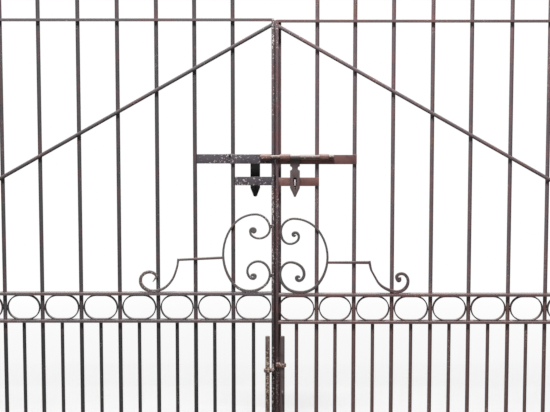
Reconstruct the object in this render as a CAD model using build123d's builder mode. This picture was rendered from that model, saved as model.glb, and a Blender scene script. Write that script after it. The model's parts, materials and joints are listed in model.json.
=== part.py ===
"""Wrought iron driveway gate: two leaves of round bars hung between two iron posts.

Millimetres, +Z up. The origin is on the ground, in the middle of the left post's foot.
+X runs along the gate to the right post, +Y points away from the side with the drop bolts.
Both leaves swing towards -Y. Along a leaf, u is the distance from the gate's middle.
"""

from build123d import *
import math
import os

# ---------------------------------------------------------------- driving dimensions
# the leaves
bars_per_leaf = 8
bar_dia = 16
bar_pitch = 155
first_bar_u = 167          # middle of the first bar, from the gate's middle
# the smith set the bars by eye, so each stands a little off the even pitch
bar_shift = {
    "left": (2, 0, -3, -2, 0, 3, 0, 0),
    "right": (2, -2, -3, -1, -1, 4, 0, 0),
}
leaf_drop = 5              # the right leaf has sagged by this much
frame_depth = 42           # rails and stiles, front to back
rail_thick = 10

# the stiles and the closing bar
middle_gap = 8             # between the two meeting stiles
meeting_stile_thick = 10
stile_extra_depth = 5      # the right meeting stile stands back further
hinge_stile_thick = 30
closing_bar_thick = 6
closing_bar_left_lap = 12  # laps behind the left leaf, from the gate's middle
closing_bar_right_lap = 25

# heights of the left leaf, each to the underside of its piece
bottom_rail_z = 90
band_bottom_rail_z = 482
band_top_rail_z = 594
top_rail_z = 1696
bar_top_z = 1880
bar_point_length = 70
bar_point_flat = 2         # radius of the blunt tip

# dog bars and rings
dog_bar_dia = 14
ring_thick = 4.5
ring_depth = 20
ring_bar_gap = 1           # between a ring and the bars beside it

# the brace
brace_dia = 15
brace_foot_z = 903         # at the hinge stile
brace_head_z = 1680        # at the meeting stile

# scrolls
scroll_width = 10
scroll_depth = 10
scroll_foot_u = 103        # where the big scroll rests on the band
scroll_knob_dia = 26

# latch bars
latch_bar_thick = 8
upper_latch_bar_height = 37
lower_latch_bar_height = 34
upper_latch_bar_z = 1128
lower_latch_bar_z = 1040
right_latch_rise = 3       # the right ones are set higher on their leaf

# slide bolts and hasps
front_bolt_z = 1155
rear_bolt_z = 1151
bolt_dia = 16
bolt_stile_gap = 2         # between a bolt and what it slides across
bolt_reach = 60            # past the gate's middle when shot
bolt_tail_u = 236
bolt_end_chamfer = 1.5
loop_dia = 26
loop_bore_play = 0.5
loop_stem_height = 14
near_loop = (20, 60)       # from u, to u
front_far_loop = (178, 216)
rear_far_loop = (176, 204)
front_keeper = (18, 56)
rear_keeper = (26, 60)
hasp_u = 80
hasp_width = 39
hasp_thick = 5
hasp_eye_wall = 2.2
hasp_eye_play = 0.3
hasp_set_back = 9          # bolt axis to the hasp's back
hasp_length = 160          # bolt axis to tip
hasp_shoulder = 124        # bolt axis to the start of the taper
front_tip_radius = 5
rear_tip_radius = 9
hasp_waist = 45            # bolt axis to the side notches
hasp_notch_radius = 8
hasp_slot_width = 14
front_hasp_slot = (82, 122) # bolt axis to the slot's ends
rear_hasp_slot = (82, 112)
staple_thick = 6
staple_height = 24
staple_proud = 9           # stands this far past the hasp
staple_hole_dia = 5

# drop bolts
drop_bolt_dia = 18
drop_bolt_u = 30
drop_bolt_top_z = 430
drop_bolt_ground_gap = 4
drop_bolt_play = 0.5
drop_guide_dia = 30
drop_guide_height = 14
drop_guide_tail_inset = 3  # a guide's tail is narrower than its ring
upper_guide_z = {"left": 282, "right": 309}
drop_grip_dia = 8
drop_grip_length = 40
drop_grip_z = 205

# hinges
pin_dia = 20
pin_play = 0.5
pin_to_stile = 20
pin_to_post = 28
eye_dia = 32
eye_height = 50
eye_tail_width = 24
eye_lift = 0.5             # the eye over the bracket it turns on
bracket_thick = 14
bracket_width = 30
pin_above_eye = 12
lower_hinge_z = 220
upper_hinge_z = 1540

# posts
post_width = 90
post_height = 1960
foot_plate_width = 200
foot_plate_thick = 14
anchor_hole_dia = 18
anchor_hole_pitch = 150
cap_width = 112
cap_plate_thick = 12
cap_rise = 60
cap_top_width = 16

# ---------------------------------------------------------------- worked out from them
half_depth = frame_depth / 2
stile_inner_u = middle_gap / 2
stile_side_u = stile_inner_u + meeting_stile_thick
even_us = [first_bar_u + i * bar_pitch for i in range(bars_per_leaf)]
clear_bay = bar_pitch - bar_dia
hinge_stile_u = even_us[-1] + bar_dia / 2 + clear_bay
leaf_end_u = hinge_stile_u + hinge_stile_thick
pin_u = leaf_end_u + pin_to_stile
post_face_u = pin_u + pin_to_post
middle_x = post_face_u + post_width / 2

top_rail_top = top_rail_z + rail_thick
band_top = band_top_rail_z + rail_thick
band_gap = band_top_rail_z - band_bottom_rail_z - rail_thick
bar_front_y = -bar_dia / 2
latch_front_y = bar_front_y - latch_bar_thick
closing_bar_y = half_depth + stile_extra_depth
front_bolt_y = -(half_depth + bolt_stile_gap + bolt_dia / 2)
rear_bolt_y = closing_bar_y + closing_bar_thick + bolt_stile_gap + bolt_dia / 2
drop_bolt_y = -(half_depth + drop_guide_dia / 2)
lower_guide_z = bottom_rail_z + (rail_thick - drop_guide_height) / 2

leaves = {"left": (-1, 0), "right": (1, -leaf_drop)}  # side, level

os.makedirs("parts", exist_ok=True)


def save(piece, name):
    """Label a finished piece and write it to its own file."""
    piece.part.label = name
    export_step(piece.part, f"parts/{name}.step")


def at(side, u):
    """The X of a distance u from the gate's middle, on one side of it."""
    return middle_x + side * u


def span(side, u0, u1):
    """The middle X and the length of a stretch from u0 to u1."""
    return at(side, (u0 + u1) / 2), abs(u1 - u0)


def bars_and_bays(leaf):
    """Where the bars of a leaf stand, and each bay from one clear face to the next."""
    shifts = bar_shift[leaf]
    us = [u + shifts[i % len(shifts)] for i, u in enumerate(even_us)]
    starts = [stile_side_u] + [u + bar_dia / 2 for u in us]
    ends = [u - bar_dia / 2 for u in us] + [hinge_stile_u]
    return us, list(zip(starts, ends))


def face_plane(side, y):
    """An upright plane along the gate: local x is u on that side, local y is Z."""
    return Plane(origin=(middle_x, y, 0), x_dir=(side, 0, 0), z_dir=(0, -side, 0))


# ---------------------------------------------------------------- frame of each leaf
for leaf, (side, level) in leaves.items():
    bar_us, bays = bars_and_bays(leaf)
    with BuildPart() as hinge_stile:
        x, length = span(side, hinge_stile_u, leaf_end_u)
        with BuildSketch(Plane.XY.offset(level + bottom_rail_z)):
            with Locations((x, 0)):
                Rectangle(length, frame_depth)
        extrude(amount=top_rail_top - bottom_rail_z)
    save(hinge_stile, f"{leaf}_hinge_stile")

    with BuildPart() as meeting_stile:
        x, length = span(side, stile_inner_u, stile_side_u)
        back_y = half_depth + (stile_extra_depth if leaf == "right" else 0)
        with BuildSketch(Plane.XY.offset(level + bottom_rail_z)):
            with Locations((x, (back_y - half_depth) / 2)):
                Rectangle(length, back_y + half_depth)
        extrude(amount=top_rail_top - bottom_rail_z)
    save(meeting_stile, f"{leaf}_meeting_stile")

    # the bars stand on the bottom rail and pass through the other three
    rails = {
        "top_rail": top_rail_z,
        "band_top_rail": band_top_rail_z,
        "band_bottom_rail": band_bottom_rail_z,
        "bottom_rail": bottom_rail_z,
    }
    for rail_name, rail_z in rails.items():
        with BuildPart() as rail:
            x, length = span(side, stile_side_u, hinge_stile_u)
            with BuildSketch(Plane.XY.offset(level + rail_z)):
                with Locations((x, 0)):
                    Rectangle(length, frame_depth)
                if rail_name != "bottom_rail":
                    with Locations([(at(side, u), 0) for u in bar_us]):
                        Circle(bar_dia / 2, mode=Mode.SUBTRACT)
            extrude(amount=rail_thick)
        save(rail, f"{leaf}_{rail_name}")

    # round bars from the bottom rail up to forged points
    with BuildPart() as bars:
        foot_z = bottom_rail_z + rail_thick
        with BuildSketch(Plane.XY.offset(level + foot_z)):
            with Locations([(at(side, u), 0) for u in bar_us]):
                Circle(bar_dia / 2)
        extrude(amount=bar_top_z - bar_point_length - foot_z)
        for u in bar_us:
            shoulder = Plane.XY.offset(level + bar_top_z - bar_point_length)
            with BuildSketch(shoulder):
                with Locations((at(side, u), 0)):
                    Circle(bar_dia / 2)
            with BuildSketch(shoulder.offset(bar_point_length)):
                with Locations((at(side, u), 0)):
                    Circle(bar_point_flat)
            loft()
    save(bars, f"{leaf}_bars")

    # short dog bars halve each bay below the band
    with BuildPart() as dog_bars:
        foot_z = bottom_rail_z + rail_thick
        with BuildSketch(Plane.XY.offset(level + foot_z)):
            with Locations([(at(side, (u0 + u1) / 2), 0) for u0, u1 in bays]):
                Circle(dog_bar_dia / 2)
        extrude(amount=band_bottom_rail_z - foot_z)
    save(dog_bars, f"{leaf}_dog_bars")

    # one flattened ring of flat bar in each bay of the band
    with BuildPart() as rings:
        ring_z = level + band_bottom_rail_z + rail_thick + band_gap / 2
        with BuildSketch(face_plane(side, side * ring_depth / 2)):
            for u0, u1 in bays:
                ring_length = u1 - u0 - 2 * ring_bar_gap
                with Locations(((u0 + u1) / 2, ring_z)):
                    SlotOverall(ring_length, band_gap)
                    SlotOverall(
                        ring_length - 2 * ring_thick,
                        band_gap - 2 * ring_thick,
                        mode=Mode.SUBTRACT,
                    )
        extrude(amount=ring_depth)
    save(rings, f"{leaf}_band_rings")

    # a round brace lies across the front of the bars, corner to corner
    with BuildPart() as brace:
        brace_y = bar_front_y - brace_dia / 2
        head = (at(side, stile_side_u), brace_y, level + brace_head_z)
        foot = (at(side, hinge_stile_u), brace_y, level + brace_foot_z)
        with BuildLine():
            axis = Line(foot, head)
        with BuildSketch(Plane(origin=(axis @ 0.5), z_dir=axis % 0)):
            Circle(brace_dia / 2)
        extrude(amount=axis.length / 2 + brace_dia, both=True)
        # trimmed upright against the stiles
        split(bisect_by=Plane.YZ.offset(head[0]), keep=Keep.TOP if side > 0 else Keep.BOTTOM)
        split(bisect_by=Plane.YZ.offset(foot[0]), keep=Keep.BOTTOM if side > 0 else Keep.TOP)
    save(brace, f"{leaf}_brace")

# ---------------------------------------------------------------- closing bar
# laps behind the left leaf, so that the left leaf opens first
with BuildPart() as closing_bar:
    with BuildSketch(Plane.XY.offset(bottom_rail_z - leaf_drop)):
        lap_middle = (closing_bar_right_lap - closing_bar_left_lap) / 2
        with Locations((middle_x + lap_middle, closing_bar_y + closing_bar_thick / 2)):
            Rectangle(closing_bar_left_lap + closing_bar_right_lap, closing_bar_thick)
    extrude(amount=top_rail_top - bottom_rail_z)
save(closing_bar, "closing_bar")

# ---------------------------------------------------------------- scrolls
# a scroll is a run of turns, each with a radius and an angle
big_scrolls = {
    "left": {
        "side_radii": (84, 190, 201, 114),
        "side_degrees": (52, 38, 37, 53),
        "upper_radii": (34, 49, 43, 15, 12),
        "upper_degrees": (45, 45, 45, 38, 75),
        "inward_end_radius": 58,
        "lower_radii": (58, 44, 47, 38, 35, 8),
        "lower_degrees": (45, 45, 45, 45, 45, 110),
        "knobs": True,
    },
    "right": {
        "side_radii": (92, 174, 186, 125),
        "side_degrees": (52, 38, 37, 53),
        "upper_radii": (60, 31, 42, 21, 19, 12, 13, 6),
        "upper_degrees": (45, 45, 45, 45, 45, 45, 45, 120),
        "inward_end_radius": 69,
        "lower_radii": (54, 37, 58, 41, 34, 16, 10, 6),
        "lower_degrees": (45, 45, 45, 45, 45, 45, 90, 90),
        "knobs": False,
    },
}
# a side arm meets the big scroll this far under its widest point, and falls from its corner
side_arms = {
    "left": {
        "drop_below_bulge": 11,
        "corner_u": 393,
        "fall_degrees": 88,
        "sweep_radius": 100,
        "hook_radii": (46, 33, 34),
        "hook_degrees": (90, 90, 60),
    },
    "right": {
        "drop_below_bulge": 19,
        "corner_u": 382,
        "fall_degrees": 68,
        "sweep_radius": 86,
        "hook_radii": (44, 29, 17, 14),
        "hook_degrees": (90, 90, 90, 60),
    },
}


def bulge_of(scroll):
    """How far the first two turns of a big scroll carry it out and up from its foot."""
    r1, r2 = scroll["side_radii"][:2]
    angle = math.radians(scroll["side_degrees"][0])
    out = r1 * math.sin(angle) + r2 * (1 - math.sin(angle))
    up = r1 * (1 - math.cos(angle)) + r2 * math.cos(angle)
    return out, up


def go_round(turn, radii, degrees, hand=1):
    """Carry on from an arc or line through a run of turns, and return the last."""
    for radius, angle in zip(radii, degrees):
        turn = JernArc(turn @ 1, turn % 1, radius, hand * angle)
    return turn


def inward_start_radius(scroll):
    """The first of two eighth turns from the foot to the stile, given the second one's radius."""
    eighth = math.radians(45)
    reach = scroll_foot_u - stile_contact_u
    return (reach - scroll["inward_end_radius"] * (1 - math.cos(eighth))) / math.sin(eighth)


scroll_front_y = bar_front_y - scroll_depth
stile_contact_u = stile_side_u + scroll_width / 2

for leaf, (side, level) in leaves.items():
    scroll = big_scrolls[leaf]
    foot = (scroll_foot_u, level + band_top + scroll_width / 2)
    plane = face_plane(side, bar_front_y - scroll_depth / 2)

    with BuildPart() as big_scroll:
        # up the outer side and over the top, then in against the stile and round
        with BuildLine(plane) as upper_line:
            first = JernArc(foot, (1, 0), scroll["side_radii"][0], scroll["side_degrees"][0])
            over_top = go_round(first, scroll["side_radii"][1:], scroll["side_degrees"][1:])
            top_u = plane.to_local_coords(over_top @ 1).X
            inward = JernArc(over_top @ 1, over_top % 1, top_u - stile_contact_u, 90)
            upper_end = go_round(inward, scroll["upper_radii"], scroll["upper_degrees"]) @ 1
        # from the foot to the stile, up and round
        with BuildLine(plane) as lower_line:
            inward = JernArc(foot, (-1, 0), inward_start_radius(scroll), -45)
            inward = go_round(inward, [scroll["inward_end_radius"]], [45], -1)
            lower_end = go_round(inward, scroll["lower_radii"], scroll["lower_degrees"], -1) @ 1
        for line in (upper_line, lower_line):
            path = line.wires()[0]
            with BuildSketch(Plane(origin=path @ 0, x_dir=(0, 1, 0), z_dir=path % 0)):
                Rectangle(scroll_depth, scroll_width)
            sweep(path=path)
        if scroll["knobs"]:
            with BuildSketch(face_plane(side, bar_front_y if side > 0 else scroll_front_y)):
                for end in (upper_end, lower_end):
                    tip = plane.to_local_coords(end)
                    with Locations((tip.X, tip.Y)):
                        Circle(scroll_knob_dia / 2)
            extrude(amount=scroll_depth)
    save(big_scroll, f"{leaf}_big_scroll")

    arm = side_arms[leaf]
    out, up = bulge_of(scroll)
    arm_z = foot[1] + up - arm["drop_below_bulge"]
    fall = math.radians(arm["fall_degrees"])
    drop = arm_z - foot[1] - arm["sweep_radius"] * (1 - math.cos(fall))
    with BuildPart() as side_scroll:
        with BuildLine(plane) as arm_line:
            arm_start = scroll_foot_u + out + scroll_width / 2
            level_run = Line((arm_start, arm_z), (arm["corner_u"], arm_z))
            slope = PolarLine(level_run @ 1, drop / math.sin(fall), -arm["fall_degrees"])
            sweep_in = JernArc(slope @ 1, slope % 1, arm["sweep_radius"], arm["fall_degrees"])
            go_round(sweep_in, arm["hook_radii"], arm["hook_degrees"])
        path = arm_line.wires()[0]
        with BuildSketch(Plane(origin=path @ 0, x_dir=(0, 1, 0), z_dir=path % 0)):
            Rectangle(scroll_depth, scroll_width)
        sweep(path=path, transition=Transition.RIGHT)
    save(side_scroll, f"{leaf}_side_scroll")

# ---------------------------------------------------------------- latch bars and staples
# each bolt slides on its own leaf; out is -1 at the front and 1 at the back
bolts = {
    "front": {
        "side": 1, "out": -1, "y": front_bolt_y, "z": front_bolt_z,
        "hasp_slot": front_hasp_slot, "tip_radius": front_tip_radius, "notched": True,
    },
    "rear": {
        "side": -1, "out": 1, "y": rear_bolt_y, "z": rear_bolt_z,
        "hasp_slot": rear_hasp_slot, "tip_radius": rear_tip_radius, "notched": False,
    },
}
latch_half_thick = latch_bar_thick / 2


def hasp_front_y(bolt):
    """The outer face of a hasp, on the side that it is seen from."""
    return bolt["y"] - bolt["out"] * (hasp_set_back - hasp_thick)


def block(x_from, x_to, y_from, y_to, z_from, z_to, mode=Mode.ADD):
    """A square-edged block between two corners."""
    with BuildSketch(Plane.XY.offset(z_from), mode=Mode.PRIVATE) as outline:
        with Locations(((x_from + x_to) / 2, (y_from + y_to) / 2)):
            Rectangle(abs(x_to - x_from), abs(y_to - y_from))
    extrude(outline.sketch, amount=z_to - z_from, mode=mode)


def round_bar(plane, centre, dia, length, mode=Mode.ADD):
    """A round bar, or a bore, that starts on a plane."""
    with BuildSketch(plane, mode=Mode.PRIVATE) as section:
        with Locations(centre):
            Circle(dia / 2)
    extrude(section.sketch, amount=length, mode=mode)


def staple(bolt, seat_y):
    """A flat staple that stands out from a latch bar, with a hole for a padlock."""
    x = at(bolt["side"], hasp_u)
    staple_z = bolt["z"] - sum(bolt["hasp_slot"]) / 2
    tip_y = hasp_front_y(bolt) + bolt["out"] * staple_proud
    hole_y = tip_y - bolt["out"] * staple_proud / 2
    half, half_height = staple_thick / 2, staple_height / 2
    near_side = Plane.YZ.offset(x - half)
    block(x - half, x + half, seat_y, tip_y, staple_z - half_height, staple_z + half_height)
    round_bar(near_side, (hole_y, staple_z), staple_hole_dia, staple_thick, Mode.SUBTRACT)


# the right latch bars lie across the front of the bars
first_u, second_u = bars_and_bays("right")[0][:2]
with BuildPart() as right_latch_bars:
    for bar_z, height, last_bar_u in (
        (upper_latch_bar_z, upper_latch_bar_height, second_u),
        (lower_latch_bar_z, lower_latch_bar_height, first_u),
    ):
        x0, x1 = at(1, stile_side_u), at(1, last_bar_u + bar_dia / 2)
        z0 = bar_z - leaf_drop + right_latch_rise
        block(x0, x1, latch_front_y, bar_front_y, z0, z0 + height)
    staple(bolts["front"], latch_front_y)
save(right_latch_bars, "right_latch_bars")

# the left upper one crosses the first bar and then butts between two, and the lower one butts
first_u, second_u = bars_and_bays("left")[0][:2]
with BuildPart() as left_latch_bars:
    first_side, first_far_side = first_u - bar_dia / 2, first_u + bar_dia / 2
    upper_top_z = upper_latch_bar_z + upper_latch_bar_height
    lower_top_z = lower_latch_bar_z + lower_latch_bar_height
    block(
        at(-1, stile_side_u), at(-1, first_far_side),
        latch_front_y, bar_front_y, upper_latch_bar_z, upper_top_z,
    )
    block(
        at(-1, first_far_side), at(-1, second_u - bar_dia / 2),
        -latch_half_thick, latch_half_thick, upper_latch_bar_z, upper_top_z,
    )
    block(
        at(-1, stile_side_u), at(-1, first_side),
        -latch_half_thick, latch_half_thick, lower_latch_bar_z, lower_top_z,
    )
    staple(bolts["rear"], latch_half_thick)
save(left_latch_bars, "left_latch_bars")

# ---------------------------------------------------------------- loops that hold the bolts
def bolt_loop(side, reach, bolt, seat_y):
    """A round loop for a slide bolt, on a square stem from its latch bar."""
    x0, x1 = at(side, reach[0]), at(side, reach[1])
    start, length = Plane.YZ.offset(min(x0, x1)), abs(x1 - x0)
    centre = (bolt["y"], bolt["z"])
    block(x0, x1, seat_y, bolt["y"], bolt["z"] - loop_stem_height, bolt["z"])
    round_bar(start, centre, loop_dia, length)
    round_bar(start, centre, bolt_dia + 2 * loop_bore_play, length, Mode.SUBTRACT)


with BuildPart() as right_bolt_loops:
    bolt_loop(1, near_loop, bolts["front"], latch_front_y)
    bolt_loop(1, front_far_loop, bolts["front"], latch_front_y)
    bolt_loop(1, rear_keeper, bolts["rear"], bar_front_y)
save(right_bolt_loops, "right_bolt_loops")

with BuildPart() as left_bolt_loops:
    bolt_loop(-1, front_keeper, bolts["front"], latch_front_y)
    bolt_loop(-1, near_loop, bolts["rear"], bar_front_y)
    bolt_loop(-1, rear_far_loop, bolts["rear"], latch_half_thick)
save(left_bolt_loops, "left_bolt_loops")

# ---------------------------------------------------------------- slide bolts and their hasps
for name, bolt in bolts.items():
    side, axis = bolt["side"], (bolt["y"], bolt["z"])
    with BuildPart() as slide_bolt:
        x0, x1 = at(side, -bolt_reach), at(side, bolt_tail_u)
        round_bar(Plane.YZ.offset(min(x0, x1)), axis, bolt_dia, abs(x1 - x0))
        chamfer(slide_bolt.edges().filter_by(GeomType.CIRCLE), length=bolt_end_chamfer)
    save(slide_bolt, f"{name}_bolt")

    with BuildPart() as hasp:
        back_y = bolt["y"] - bolt["out"] * hasp_set_back
        half, tip = hasp_width / 2, bolt["tip_radius"]
        origin = (at(side, hasp_u), back_y, bolt["z"])
        back = Plane(origin=origin, x_dir=(1, 0, 0), z_dir=(0, -1, 0))
        with BuildSketch(back):
            with BuildLine():
                Polyline(
                    (-tip, tip - hasp_length),
                    (-half, -hasp_shoulder),
                    (-half, 0),
                    (half, 0),
                    (half, -hasp_shoulder),
                    (tip, tip - hasp_length),
                )
                ThreePointArc(
                    (tip, tip - hasp_length),
                    (0, -hasp_length),
                    (-tip, tip - hasp_length),
                )
            make_face()
            if bolt["notched"]:
                with Locations((-half, -hasp_waist), (half, -hasp_waist)):
                    Circle(hasp_notch_radius, mode=Mode.SUBTRACT)
            slot_top, slot_foot = bolt["hasp_slot"]
            with Locations((0, -(slot_top + slot_foot) / 2)):
                SlotOverall(
                    slot_foot - slot_top,
                    hasp_slot_width,
                    rotation=90,
                    mode=Mode.SUBTRACT,
                )
        extrude(amount=-bolt["out"] * hasp_thick)
        # the eye wraps the bolt, and its bore trims the plate
        bore_dia = bolt_dia + 2 * hasp_eye_play
        start = Plane.YZ.offset(at(side, hasp_u) - half)
        round_bar(start, axis, bore_dia + 2 * hasp_eye_wall, hasp_width)
        round_bar(start, axis, bore_dia, hasp_width, Mode.SUBTRACT)
    save(hasp, f"{name}_hasp")

# ---------------------------------------------------------------- drop bolts
# they stand in front of the leaves, so that a lifted one passes the rail of the band
for leaf, (side, level) in leaves.items():
    x = at(side, drop_bolt_u)
    with BuildPart() as drop_bolt:
        foot = Plane.XY.offset(drop_bolt_ground_gap)
        grip_length = drop_bolt_dia / 2 + drop_grip_length
        round_bar(foot, (x, drop_bolt_y), drop_bolt_dia, drop_bolt_top_z - drop_bolt_ground_gap)
        chamfer(drop_bolt.edges().filter_by(GeomType.CIRCLE), length=bolt_end_chamfer)
        round_bar(Plane.XZ.offset(-drop_bolt_y), (x, drop_grip_z), drop_grip_dia, grip_length)
    save(drop_bolt, f"{leaf}_drop_bolt")

    # one guide is welded to the meeting stile and one to the bottom rail
    with BuildPart() as drop_guides:
        tail_half = drop_guide_dia / 2 - drop_guide_tail_inset
        tails = {
            upper_guide_z[leaf]: (at(side, stile_inner_u), x),
            lower_guide_z: (x - tail_half, x + tail_half),
        }
        for guide_z, (x0, x1) in tails.items():
            base_z = level + guide_z
            base, bore_dia = Plane.XY.offset(base_z), drop_bolt_dia + 2 * drop_bolt_play
            block(x0, x1, drop_bolt_y, -half_depth, base_z, base_z + drop_guide_height)
            round_bar(base, (x, drop_bolt_y), drop_guide_dia, drop_guide_height)
            round_bar(base, (x, drop_bolt_y), bore_dia, drop_guide_height, Mode.SUBTRACT)
    save(drop_guides, f"{leaf}_drop_guides")

# ---------------------------------------------------------------- hinges
for leaf, (side, level) in leaves.items():
    x = at(side, pin_u)
    with BuildPart() as hinge_eyes:
        for hinge_z in (lower_hinge_z, upper_hinge_z):
            eye_top_z = hinge_z + eye_height
            half = eye_tail_width / 2
            block(at(side, leaf_end_u), x, -half, half, hinge_z, eye_top_z)
            start = Plane.XY.offset(hinge_z)
            round_bar(start, (x, 0), eye_dia, eye_height)
            round_bar(start, (x, 0), pin_dia + 2 * pin_play, eye_height, Mode.SUBTRACT)
    save(hinge_eyes, f"{leaf}_hinge_eyes")

    with BuildPart() as hinge_pins:
        for hinge_z in (lower_hinge_z, upper_hinge_z):
            bracket_top_z = hinge_z - eye_lift
            bracket_z = bracket_top_z - bracket_thick
            half = bracket_width / 2
            block(at(side, post_face_u), x, -half, half, bracket_z, bracket_top_z)
            round_bar(Plane.XY.offset(bracket_z), (x, 0), bracket_width, bracket_thick)
            pin_length = eye_lift + eye_height + pin_above_eye
            round_bar(Plane.XY.offset(bracket_top_z), (x, 0), pin_dia, pin_length)
    save(hinge_pins, f"{leaf}_hinge_pins")

# ---------------------------------------------------------------- posts
for leaf, (side, _) in leaves.items():
    x = at(side, post_face_u + post_width / 2)
    with BuildPart() as post:
        with BuildSketch():
            with Locations((x, 0)):
                Rectangle(foot_plate_width, foot_plate_width)
                with GridLocations(anchor_hole_pitch, anchor_hole_pitch, 2, 2):
                    Circle(anchor_hole_dia / 2, mode=Mode.SUBTRACT)
        extrude(amount=foot_plate_thick)
        with BuildSketch(Plane.XY.offset(foot_plate_thick)):
            with Locations((x, 0)):
                Rectangle(post_width, post_width)
        extrude(amount=post_height - foot_plate_thick)
    save(post, f"{leaf}_post")

    with BuildPart() as post_cap:
        with BuildSketch(Plane.XY.offset(post_height)):
            with Locations((x, 0)):
                Rectangle(cap_width, cap_width)
        extrude(amount=cap_plate_thick)
        cap_shoulder = Plane.XY.offset(post_height + cap_plate_thick)
        with BuildSketch(cap_shoulder):
            with Locations((x, 0)):
                Rectangle(cap_width, cap_width)
        with BuildSketch(cap_shoulder.offset(cap_rise)):
            with Locations((x, 0)):
                Rectangle(cap_top_width, cap_top_width)
        loft()
    save(post_cap, f"{leaf}_post_cap")
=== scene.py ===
# %% [markdown]
# # An old wrought iron driveway gate
#
# Two leaves of round bars hang between two iron posts. The blacksmith riveted and welded them by
# hand, and many coats of paint have since gone dull, cracked and let the rust through. The shapes
# that carry load come from the CAD model. This lesson rounds their edges, forges the scrolls again
# with their real taper, adds welds and nuts, and then gives every piece its old paint.

# %% Load the gate and measure it
import json
import math

import bpy
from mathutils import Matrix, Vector


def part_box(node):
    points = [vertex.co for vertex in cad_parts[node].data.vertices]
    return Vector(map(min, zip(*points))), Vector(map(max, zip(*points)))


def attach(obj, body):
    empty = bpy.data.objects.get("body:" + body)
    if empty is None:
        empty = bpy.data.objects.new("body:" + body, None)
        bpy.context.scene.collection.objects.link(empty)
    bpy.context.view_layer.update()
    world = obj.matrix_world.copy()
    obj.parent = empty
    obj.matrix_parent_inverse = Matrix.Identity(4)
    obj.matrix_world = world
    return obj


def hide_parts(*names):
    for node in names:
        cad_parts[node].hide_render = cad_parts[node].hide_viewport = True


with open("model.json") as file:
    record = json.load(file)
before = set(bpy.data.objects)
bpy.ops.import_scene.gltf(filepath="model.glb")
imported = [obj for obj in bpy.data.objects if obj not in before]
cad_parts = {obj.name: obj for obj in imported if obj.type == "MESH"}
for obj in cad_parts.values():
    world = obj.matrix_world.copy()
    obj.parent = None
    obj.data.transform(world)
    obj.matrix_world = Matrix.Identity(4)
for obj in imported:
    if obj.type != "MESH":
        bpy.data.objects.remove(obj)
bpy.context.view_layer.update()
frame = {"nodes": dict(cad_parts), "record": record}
MM = 0.001


def low(node):
    """The lowest corner of a CAD node."""
    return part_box(node)[0]


def high(node):
    """The highest corner of a CAD node."""
    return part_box(node)[1]


middle_x = (high("left_meeting_stile").x + low("right_meeting_stile").x) / 2
sides = {"left": -1, "right": 1}
print("the middle of the gate is at x =", round(middle_x, 4))

# %% [markdown]
# ## Camera
#
# A driver's eye stands 1.5 m above the ground and 5.5 m in front of the middle of the gate, and
# looks down by a few degrees. A long lens keeps the bars almost parallel, and a level horizon with
# no sideways turn keeps both leaves the same size.

# %% Camera in front of the gate
eye_height = 1.4985
eye_distance = 5.504
look_down = math.radians(5.63)

camera_data = bpy.data.cameras.new("eye")
camera_data.sensor_width = 36
camera_data.lens = 89.67273
camera = bpy.data.objects.new("eye", camera_data)
bpy.context.scene.collection.objects.link(camera)
camera.location = (middle_x, -eye_distance, eye_height)
camera.rotation_euler = (math.pi / 2 - look_down, 0, 0)
bpy.context.scene.camera = camera
print("lens", round(camera_data.lens, 1), "mm")

# %% [markdown]
# ## Colours and nodes
#
# Colours are written as they look on screen, in sRGB hex, and one function turns them to the
# linear values that the shader works with. One more function adds a node, with its settings and
# links, so that a material reads from top to bottom.

# %% Two helpers for materials
def linear(code):
    """A colour such as 8a7f7c as linear red, green, blue and alpha."""
    parts = [int(code[i : i + 2], 16) / 255 for i in (0, 2, 4)]
    return [c / 12.92 if c <= 0.04045 else ((c + 0.055) / 1.055) ** 2.4 for c in parts] + [1]


def add(tree, kind, inputs, **settings):
    """Add a node with its settings, and fill or link its inputs."""
    node = tree.nodes.new(kind)
    for name, value in settings.items():
        setattr(node, name, value)
    for name, value in inputs.items():
        if isinstance(value, bpy.types.NodeSocket):
            tree.links.new(value, node.inputs[name])
        else:
            node.inputs[name].default_value = value
    return node


def size_mm(feature):
    """The scale of a noise pattern whose features are this many millimetres across."""
    return 1 / (feature * MM)


# %% [markdown]
# ## Old alkyd paint over wrought iron
#
# Gates like this one were brushed with alkyd paint again and again. The coat goes matt, and two
# colours show: the last dark grey coat, and an older maroon one where the grey has chalked away.
# Rust creeps from below in streaks that run down the bars, small flakes have popped off and left
# pale specks, and dust lies on everything that faces up. On the front bolt, the front hasp and the
# rings, that pale cover on the upward faces is made strong as a painted highlight. Each of these
# could be painted by hand on an image, but a noise pattern of the right real size follows every
# piece without a seam.

# %% Patches, streaks and flakes
def worn_patterns(tree, place, shares):
    """The noise of the patches, of the streaks of rust, and of flakes in loose groups."""
    # the older coat shows in patches as wide as a hand
    patches = add(
        tree,
        "ShaderNodeTexNoise",
        {"Vector": place, "Scale": size_mm(80), "Detail": 5.0, "Roughness": 0.6},
    )
    # rust runs down, so its pattern is eight times as tall as it is wide
    running = add(tree, "ShaderNodeMapping", {"Vector": place, "Scale": (1, 1, 0.12)})
    streaks = add(
        tree,
        "ShaderNodeTexNoise",
        {"Vector": running.outputs[0], "Scale": size_mm(14), "Detail": 6.0, "Roughness": 0.65},
    )
    # flakes are 4 mm wide if no other size is given, and have popped off in loose groups
    flake_scale = size_mm(shares.get("flake", 4))
    flakes = add(
        tree, "ShaderNodeTexNoise", {"Vector": place, "Scale": flake_scale, "Detail": 2.0}
    )
    groups = add(
        tree, "ShaderNodeTexNoise", {"Vector": place, "Scale": size_mm(180), "Detail": 1.0}
    )
    grouped = add(
        tree,
        "ShaderNodeMath",
        {0: groups.outputs["Fac"], 1: 0.45, 2: flakes.outputs["Fac"]},
        operation="MULTIPLY_ADD",
    )
    return patches.outputs["Fac"], streaks.outputs["Fac"], grouped.outputs[0]


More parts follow.
